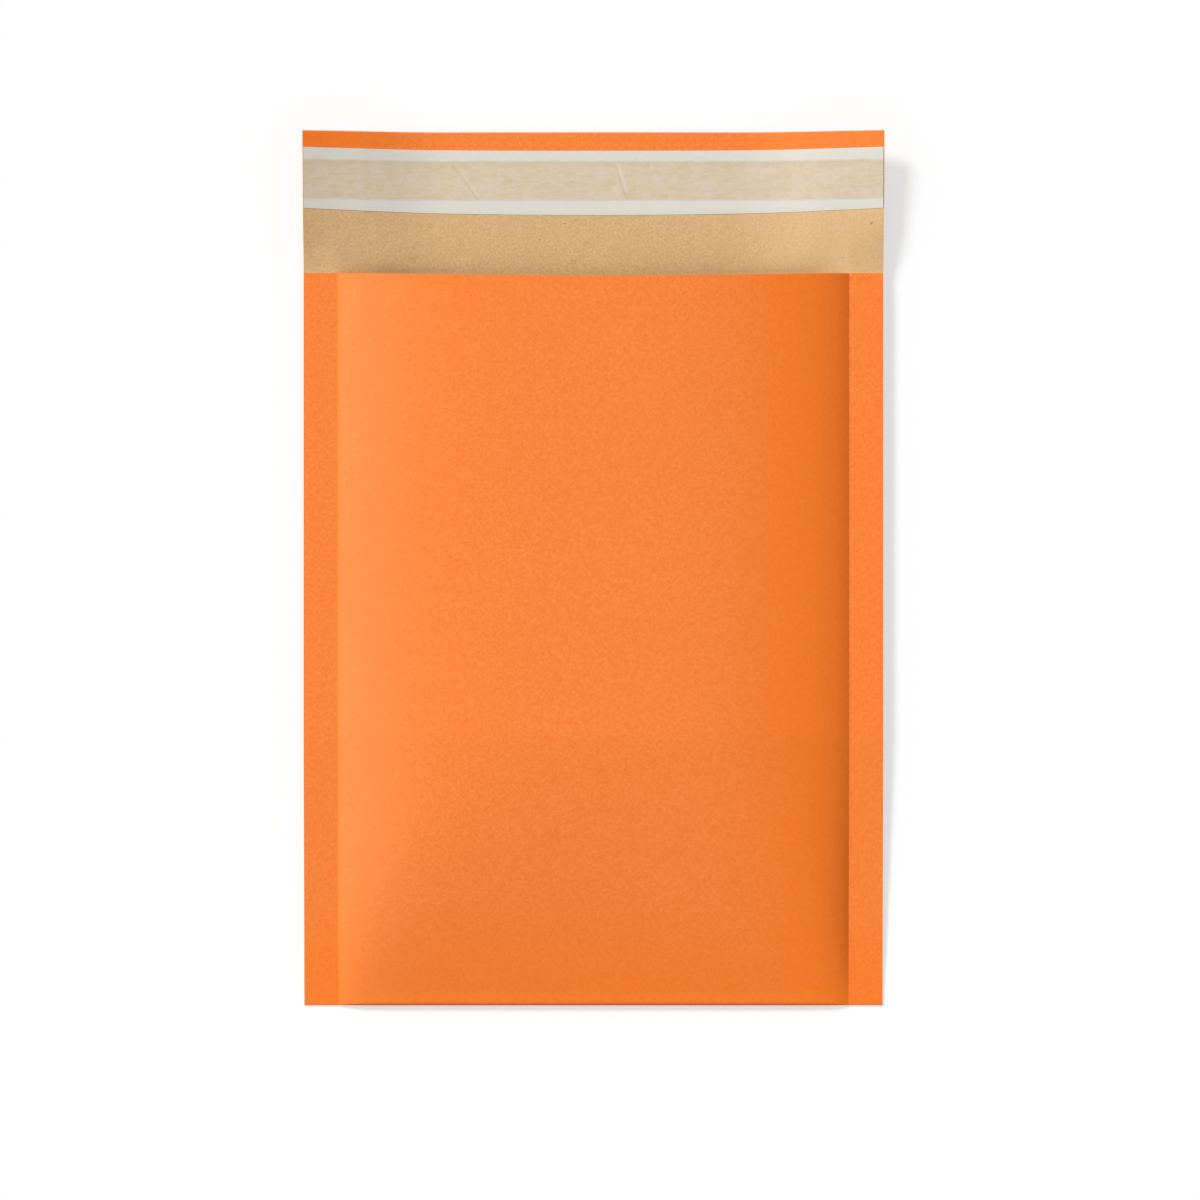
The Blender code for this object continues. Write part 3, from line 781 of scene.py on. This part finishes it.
def add_painted_shade_and_light(tree, place, colour):
    """Paint shade as deeper orange at the right, the bottom fold and the hem's left end, and paint light
    as paler orange at the left.
    """
    across, along = split_place(tree, place)
    on_front = remap(tree, along, *FRONT_ONLY)
    on_flap = remap(tree, along, *FLAP_ONLY)
    right = product(
        tree,
        remap(tree, across, *RIGHT_PAINTED_SHADE, smooth=True),
        remap(tree, across, *RIGHT_SEAM_PAINTED_SHADE, smooth=True),
    )
    low = remap(tree, along, *LOW_PAINTED_SHADE, smooth=True)
    front = product(tree, arithmetic(tree, "MAXIMUM", right, low), on_front)
    hem_left = product(tree, remap(tree, across, *HEM_LEFT_PAINTED_SHADE, smooth=True), on_flap)
    painted_light_share = product(
        tree,
        remap(tree, across, *LEFT_PAINTED_LIGHT, smooth=True),
        remap(tree, across, *LEFT_SEAM_PAINTED_LIGHT, smooth=True),
        remap(tree, along, *LOW_PAINTED_LIGHT, smooth=True),
        on_front,
    )
    colour = blend_colours(tree, arithmetic(tree, "MAXIMUM", front, hem_left), colour, PAINTED_SHADE_ORANGE)
    return blend_colours(tree, painted_light_share, colour, PAINTED_LIGHT_ORANGE)


def orange_paper():
    """Dyed kraft paper with a fine matte grain."""
    material, tree, shader = new_material("orange_paper")
    place = object_place(tree)
    grain = mottle(tree, place, *ORANGE_GRAIN)
    colour = blend_colours(tree, remap(tree, grain, *GRAIN_RANGE), ORANGE_DARK, ORANGE_LIGHT)
    colour = add_patches(tree, place, colour, ORANGE_PATCHES)
    # Painted shade and painted light on the orange paper
    colour = add_painted_shade_and_light(tree, place, colour)
    colour = add_strokes(tree, colour, ORANGE_MARKS)
    finish_shader(tree, shader, colour, grain, roughness=(0.72, 0.92), bump=0.00005, gloss=0.12)
    return material


def brown_kraft():
    """Undyed kraft paper with a fine grain, painted light that makes it paler to the right, and a few
    fibres.
    """
    material, tree, shader = new_material("brown_kraft")
    place = object_place(tree)
    grain = mottle(tree, place, *KRAFT_GRAIN)
    colour = blend_colours(tree, remap(tree, grain, *GRAIN_RANGE), KRAFT_DARK, KRAFT_LIGHT)
    colour = add_patches(tree, place, colour, KRAFT_PATCHES)
    across, _ = split_place(tree, place)
    # Painted light: the kraft paler to the right
    kraft_painted_light_share = remap(tree, across, *KRAFT_PAINTED_LIGHT, smooth=True)
    colour = blend_colours(tree, kraft_painted_light_share, colour, PAINTED_LIGHT_KRAFT)
    colour = add_strokes(tree, colour, KRAFT_MARKS)
    finish_shader(tree, shader, colour, grain, roughness=(0.75, 0.95), bump=0.00004, gloss=0.2)
    return material


def liner_tan(tree, along, streaks, cloud):
    """Colour of the liner where the adhesive shows through it, with stains and with painted shade and
    painted highlight along its creases.
    """
    warmth = mottle(tree, object_place(tree, WARMTH_SQUEEZE), *LINER_WARMTH)
    tan = blend_colours(tree, remap(tree, streaks, *STREAK_RANGE), TAN_DARK, TAN_LIGHT)
    tan = blend_colours(tree, remap(tree, cloud, *TAN_CLOUD_FADE, smooth=True), tan, TAN_CLOUD)
    tan = blend_colours(tree, remap(tree, warmth, *TAN_WARM_FADE), tan, TAN_WARM)
    tan = blend_colours(tree, remap(tree, along, *TAN_LINE_FADE), tan, TAN_LINE)
    return add_strokes(tree, tan, LINER_STAINS_AND_CREASE_SHADING)


def liner_margin(tree, place, along, cloud):
    """Colour of the liner's bare margins."""
    grain = mottle(tree, place, *LINER_GRAIN)
    margin = blend_colours(tree, remap(tree, grain, *GRAIN_RANGE), MARGIN_DARK, MARGIN_LIGHT)
    margin = blend_colours(tree, remap(tree, cloud, *MARGIN_CLOUD_FADE), margin, MARGIN_CLOUD)
    return blend_colours(tree, remap(tree, along, *FREE_MARGIN_FADE), margin, MARGIN_FREE)


def release_paper():
    """Thin white liner, through which the adhesive under it shows."""
    material, tree, shader = new_material("release_paper")
    place = object_place(tree)
    ragged = product(tree, mottle(tree, place, *LINER_RAGGED), RAGGED_DEPTH)
    along = arithmetic(tree, "ADD", split_place(tree, place)[1], ragged)
    wetted = product(
        tree,
        remap(tree, along, *WETTED_BELOW, smooth=True),
        remap(tree, along, *WETTED_ABOVE, smooth=True),
    )
    streaks = mottle(tree, object_place(tree, STREAK_SQUEEZE), *LINER_STREAKS)
    cloud = mottle(tree, object_place(tree, CLOUD_SQUEEZE), *LINER_CLOUD)
    margin = liner_margin(tree, place, along, cloud)
    tan = liner_tan(tree, along, streaks, cloud)
    colour = blend_colours(tree, wetted, margin, tan)
    finish_shader(tree, shader, colour, streaks, roughness=(0.38, 0.52), bump=0.00002, gloss=0.3)
    return material


def hot_melt():
    """Amber adhesive over brown paper."""
    material, tree, shader = new_material("hot_melt_adhesive")
    streaks = mottle(tree, object_place(tree, ADHESIVE_SQUEEZE), *ADHESIVE_STREAKS)
    colour = blend_colours(tree, remap(tree, streaks, *GRAIN_RANGE), ADHESIVE_DARK, ADHESIVE_LIGHT)
    finish_shader(tree, shader, colour, streaks, roughness=(0.25, 0.45), bump=0.00006)
    return material


def bubble_film():
    """Clear film with a soft gloss and faint haze."""
    material, tree, shader = new_material("bubble_film")
    haze = mottle(tree, object_place(tree), *FILM_HAZE)
    colour = blend_colours(tree, remap(tree, haze, *GRAIN_RANGE), FILM_DARK, FILM_LIGHT)
    shader.inputs["Alpha"].default_value = FILM_ALPHA
    finish_shader(tree, shader, colour, haze, roughness=(0.10, 0.26), bump=0.00015, gloss=0.6)
    return material


# Paper

def add_seam_seal(paper, side):
    """Join front and back in one side seam with the layer of film between them."""
    edges = sorted([side * (HALF_USABLE + SEAL_INSET), side * (HALF_WIDTH - SEAL_INSET)])
    seal = folded_sheet("seam_seal", edges, seal_path, SEAL + 2 * SEAL_BITE, [])
    seam = paper.modifiers.new("seam", "BOOLEAN")
    seam.operation = "UNION"
    seam.solver = "EXACT"
    seam.object = seal
    return seal


def make_paper():
    """The folded sheet with its two side seams sealed."""
    paper = folded_sheet("mailer_paper", PAPER_COLUMNS, paper_path, PAPER, [brown_kraft(), orange_paper()])
    seals = [add_seam_seal(paper, side) for side in (-1, 1)]
    bake(paper)
    for seal in seals:
        bpy.data.objects.remove(seal, do_unlink=True)
    place_piece(paper, "paper_envelope")


# Bubble lining

def bubble_height(x, y):
    """Height of a bubble: full where there is room, and pressed flatter where there isn't."""
    reach = BUBBLE_PITCH / 2
    angles = [2 * math.pi * i / ROOM_PLACES for i in range(ROOM_PLACES)]
    places = [(x + reach * math.cos(a), y + reach * math.sin(a)) for a in angles]
    room = min(front_height(*place) - back_height(*place) for place in places)
    share = room / 2 - PAPER / 2 - LINING_GAP - FILM - BUBBLE_CLEARANCE / 2
    return min(BUBBLE_HEIGHT, share)


def bubble_places(y_high):
    """Centre and height of each bubble in the staggered rows of a panel that ends at y_high."""
    widest = LINING_EDGE - BUBBLE_MARGIN - BUBBLE_PITCH / 2
    places = []
    y = y_high - BUBBLE_MARGIN - HALF_ROW
    shift = 0.0
    while y - HALF_ROW - BUBBLE_MARGIN >= Y_PANEL:
        count = int((widest - shift) / BUBBLE_PITCH)
        for x in mirrored([shift + i * BUBBLE_PITCH for i in range(count + 1)]):
            rise = bubble_height(x, y)
            if rise >= BUBBLE_LEAST_HEIGHT:
                places.append((x, y, rise))
        y -= 2 * HALF_ROW
        shift = BUBBLE_PITCH / 2 - shift
    return places


def chain(first, count):
    """Edges that join so many vertices in a closed ring, by their numbers."""
    return [(first + i, first + (i + 1) % count) for i in range(count)]


def add_foot(bm, x, y, height_at):
    """Ring of vertices round the foot of a bubble."""
    verts = []
    for i in range(DOME_SIDES):
        angle = 2 * math.pi * i / DOME_SIDES
        corner = (x + DOME_RADIUS * math.cos(angle), y + DOME_RADIUS * math.sin(angle))
        verts.append(bm.verts.new((*corner, height_at(*corner))))
    return verts


def add_dome(bm, foot, x, y, rise, height_at):
    """Rings of faces over a bubble's foot, closed by a small flat top."""
    lower = foot
    for reach, share in DOME_RINGS:
        upper = []
        for vert in foot:
            corner = (x + (vert.co.x - x) * reach, y + (vert.co.y - y) * reach)
            upper.append(bm.verts.new((*corner, height_at(*corner) + rise * share)))
        for i, following in chain(0, DOME_SIDES):
            bm.faces.new([lower[i], lower[following], upper[following], upper[i]])
        lower = upper
    bm.faces.new(lower)


def fill_flat(bm, outline, feet):
    """Triangles of flat film between a panel's outline and the feet of its bubbles."""
    verts = list(outline)
    edges = chain(0, len(outline))
    owner = {}
    for number, foot in enumerate(feet):
        edges += chain(len(verts), DOME_SIDES)
        for vert in foot:
            owner[len(verts)] = number
            verts.append(vert)
    flat = [(vert.co.x, vert.co.y) for vert in verts]
    _, _, triangles, sources, _, _ = delaunay_2d_cdt(flat, edges, [], INSIDE_ONLY, MERGE_DISTANCE)
    for triangle in triangles:
        corners = [sources[i][0] for i in triangle]
        owners = {owner.get(index) for index in corners}
        if len(owners) > 1 or None in owners:
            bm.faces.new([verts[index] for index in corners])


def add_panel(bm, outline, bubbles, height_at, up):
    """Fill one panel of the web's inner side with round bubbles standing on flat film."""
    feet = [add_foot(bm, x, y, height_at) for x, y, _ in bubbles]
    fill_flat(bm, outline, feet)
    for foot, (x, y, rise) in zip(feet, bubbles):
        add_dome(bm, foot, x, y, up * rise, height_at)


def web_verts(bm, depth, is_kept):
    """Vertices of one side of the web, by row and column, where is_kept says so."""
    paths = [lining_path(x, depth) for x in LINING_COLUMNS]
    verts = {}
    for row in range(len(paths[0])):
        for column, x in enumerate(LINING_COLUMNS):
            if is_kept(row, column):
                verts[row, column] = bm.verts.new((x, *paths[column][row]))
    return verts


def add_web_faces(bm, verts, rows):
    """Faces of one side of the web, from each of the rows to the next."""
    for row in rows:
        for column in range(LAST_COLUMN):
            quad = [(row, column), (row, column + 1), (row + 1, column + 1), (row + 1, column)]
            bm.faces.new([verts[cell] for cell in quad])


def web_edge(first, final):
    """Rows and columns of the vertices round the stretch of web between two rows."""
    cells = [(first, column) for column in range(LAST_COLUMN + 1)]
    cells += [(row, LAST_COLUMN) for row in range(first + 1, final + 1)]
    cells += [(final, column) for column in range(LAST_COLUMN - 1, -1, -1)]
    cells += [(row, 0) for row in range(final - 1, first, -1)]
    return cells


def make_lining():
    """One web of film in a U: plain against the paper, and set with bubbles inside."""
    final = len(lining_path(0.0, LINING_GAP)) - 1
    back_bend = len(LINING_BACK_ROWS) - 1
    front_bend = final + 1 - len(LINING_FRONT_ROWS)

    def on_inner_frame(row, column):
        """Whether a vertex of the inner side is round the bend or on the web's edges."""
        return back_bend <= row <= front_bend or row in (0, final) or column in (0, LAST_COLUMN)

    bm = bmesh.new()
    outer = web_verts(bm, LINING_GAP, lambda row, column: True)
    inner = web_verts(bm, LINING_GAP + FILM, on_inner_frame)
    add_web_faces(bm, outer, range(final))
    add_web_faces(bm, inner, range(back_bend, front_bend))
    rim = web_edge(0, final)
    for cell, following in zip(rim, rim[1:] + rim[:1]):
        bm.faces.new([outer[cell], outer[following], inner[following], inner[cell]])

    depth = PAPER / 2 + LINING_GAP + FILM
    back_outline = [inner[cell] for cell in web_edge(0, back_bend)]
    back_bubbles = bubble_places(Y_MOUTH - LINING_BACK_END)
    add_panel(bm, back_outline, back_bubbles, lambda x, y: back_height(x, y) + depth, 1)
    front_outline = [inner[cell] for cell in web_edge(front_bend, final)]
    front_bubbles = bubble_places(front_point(0.0, Y_MOUTH - LINING_FRONT_END)[0])
    add_panel(bm, front_outline, front_bubbles, lambda x, y: front_height(x, y) - depth, -1)

    bmesh.ops.recalc_face_normals(bm, faces=bm.faces)
    lining = add_object("bubble_web", bm, [bubble_film()])
    place_piece(lining, "bubble_lining")


# Adhesive and release liner

def make_adhesive():
    """The band of hot-melt adhesive across the flap."""
    band = folded_sheet("adhesive_band", ADHESIVE_COLUMNS, adhesive_path, ADHESIVE, [hot_melt()])
    bake(band)
    place_piece(band, "adhesive_strip")


def make_liner():
    """The release liner, wider than the adhesive it covers."""
    liner = folded_sheet("liner_strip", LINER_COLUMNS, liner_path, LINER, [release_paper()])
    bake(liner)
    place_piece(liner, "release_liner")


# Floor, light and camera

def seen_directly(tree):
    """1 where the ray comes from the camera, or through glass or a reflection, and otherwise 0."""
    rays = tree.nodes.new("ShaderNodeLightPath")
    seen = arithmetic(tree, "MAXIMUM", rays.outputs["Is Camera Ray"], rays.outputs["Is Glossy Ray"])
    return arithmetic(tree, "MAXIMUM", seen, rays.outputs["Is Transmission Ray"])


def mix_shaders(tree, share, first, second):
    """Two shaders mixed, with a share of the second."""
    node = tree.nodes.new("ShaderNodeMixShader")
    connect(tree, node.inputs["Fac"], share)
    tree.links.new(first, node.inputs[1])
    tree.links.new(second, node.inputs[2])
    return node.outputs["Shader"]


def diffuse_shader(tree, colour):
    """A matt shader of one colour."""
    node = tree.nodes.new("ShaderNodeBsdfDiffuse")
    node.inputs["Color"].default_value = colour
    return node.outputs["BSDF"]


def white_floor():
    """White that keeps a softened shadow where it is seen, and plain grey to the light it returns."""
    material = bpy.data.materials.new("white_floor")
    material.use_nodes = True
    tree = material.node_tree
    tree.nodes.clear()
    white = tree.nodes.new("ShaderNodeEmission").outputs["Emission"]
    lifted = mix_shaders(tree, FLOOR_SHADOW, white, diffuse_shader(tree, WHITE))
    chosen = mix_shaders(tree, seen_directly(tree), diffuse_shader(tree, BOUNCE_GREY), lifted)
    output = tree.nodes.new("ShaderNodeOutputMaterial")
    tree.links.new(chosen, output.inputs["Surface"])
    return material


def make_floor():
    """A white floor that keeps the object's shadow."""
    bm = bmesh.new()
    bmesh.ops.create_grid(bm, x_segments=1, y_segments=1, size=FLOOR_HALF_SIZE)
    floor = add_object("floor", bm, [white_floor()])


def make_light():
    """A soft key from the upper left and an even fill."""
    key_data = bpy.data.lights.new("key", "SUN")
    key_data.energy = KEY_STRENGTH
    key_data.angle = KEY_ANGLE
    key = bpy.data.objects.new("key", key_data)
    key.rotation_euler = Vector(KEY_DIRECTION).to_track_quat("Z", "Y").to_euler()
    bpy.context.scene.collection.objects.link(key)

    world = bpy.data.worlds.new("studio")
    bpy.context.scene.world = world
    world.use_nodes = True
    tree = world.node_tree
    background = tree.nodes["Background"]
    background.inputs["Color"].default_value = WHITE
    strength = remap(tree, seen_directly(tree), 0.0, 1.0, AMBIENT, 1.0)
    tree.links.new(strength, background.inputs["Strength"])


def make_camera():
    """A camera straight above, with the flap toward the top of the picture."""
    camera_data = bpy.data.cameras.new("camera")
    camera_data.sensor_width = SENSOR
    camera_data.lens = SENSOR * (CAMERA_HEIGHT - VIEW_PLANE) / VIEW_WIDTH
    camera = bpy.data.objects.new("camera", camera_data)
    camera.location = (CAMERA_X, CAMERA_Y, CAMERA_HEIGHT)
    bpy.context.scene.collection.objects.link(camera)
    bpy.context.scene.camera = camera


make_camera()
make_floor()
make_light()
make_paper()
make_lining()
make_adhesive()
make_liner()

bpy.context.scene.view_settings.view_transform = "Standard"
